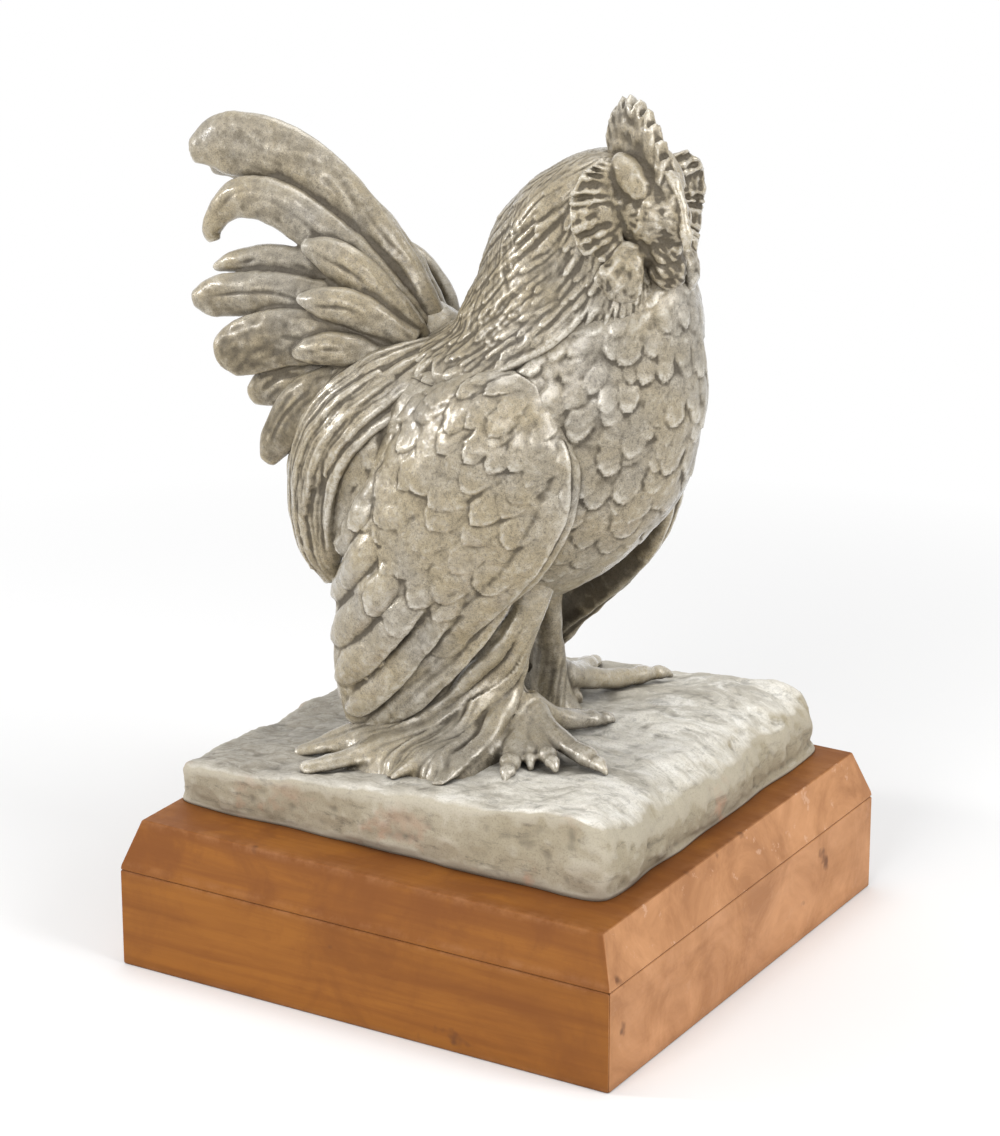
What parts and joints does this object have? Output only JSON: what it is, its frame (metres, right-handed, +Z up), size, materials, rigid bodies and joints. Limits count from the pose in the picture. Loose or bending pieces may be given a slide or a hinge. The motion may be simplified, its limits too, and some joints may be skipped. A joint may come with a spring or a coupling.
{
  "type": "rooster sculpture on plinth",
  "caption": "Standing rooster in patinated fired clay with arched tail and feathered feet, on its own ground slab that lifts off a bevelled wooden plinth.",
  "frame": {"origin": "middle of the bounding box's underside, on the surface that the plinth stands on", "axes": "+X the way that the bird faces, -Y its right side, +Z up"},
  "size_m": [0.4132, 0.36, 0.5715],
  "materials": {
    "patinated_clay": "satin",
    "ground_clay": "matte",
    "plinth_wood": "satin",
    "block_wood": "matte",
    "screw_steel": "satin"
  },
  "bodies": {
    "plinth": {"front_rail": "plinth_wood", "right_rail": "plinth_wood", "back_rail": "plinth_wood", "left_rail": "plinth_wood", "top_board": "plinth_wood", "corner_block_1": "block_wood", "corner_block_2": "block_wood", "corner_block_3": "block_wood", "corner_block_4": "block_wood", "top_screw_1": "screw_steel", "top_screw_2": "screw_steel", "top_screw_3": "screw_steel", "top_screw_4": "screw_steel"},
    "sculpture": {"ground_slab": "ground_clay", "body_right_half": "patinated_clay", "body_left_half": "patinated_clay", "neck": "patinated_clay", "head": "patinated_clay", "comb": "patinated_clay", "upper_beak": "patinated_clay", "lower_beak": "patinated_clay", "tail_root": "patinated_clay", "right_cheek_lobe": "patinated_clay", "right_wattle": "patinated_clay", "right_eye": "patinated_clay", "right_saddle": "patinated_clay", "right_wing": "patinated_clay", "right_foot": "patinated_clay", "right_shank": "patinated_clay", "right_leg_plumes": "patinated_clay", "right_top_sickle": "patinated_clay", "right_hooked_sickle": "patinated_clay", "right_sickle_covert": "patinated_clay", "right_fine_quill": "patinated_clay", "right_upper_quill": "patinated_clay", "right_quill_covert": "patinated_clay", "right_middle_quill": "patinated_clay", "right_under_quill": "patinated_clay", "right_hanging_quill": "patinated_clay", "left_cheek_lobe": "patinated_clay", "left_wattle": "patinated_clay", "left_eye": "patinated_clay", "left_saddle": "patinated_clay", "left_wing": "patinated_clay", "left_foot": "patinated_clay", "left_shank": "patinated_clay", "left_leg_plumes": "patinated_clay", "left_top_sickle": "patinated_clay", "left_hooked_sickle": "patinated_clay", "left_sickle_covert": "patinated_clay", "left_fine_quill": "patinated_clay", "left_upper_quill": "patinated_clay", "left_quill_covert": "patinated_clay", "left_middle_quill": "patinated_clay", "left_under_quill": "patinated_clay", "left_hanging_quill": "patinated_clay"}
  },
  "joints": [
    {"name": "lift_off", "type": "slide", "parent": "plinth", "child": "sculpture", "axis": [0, 0, 1], "range_m": [0, 0.2]}
  ]
}
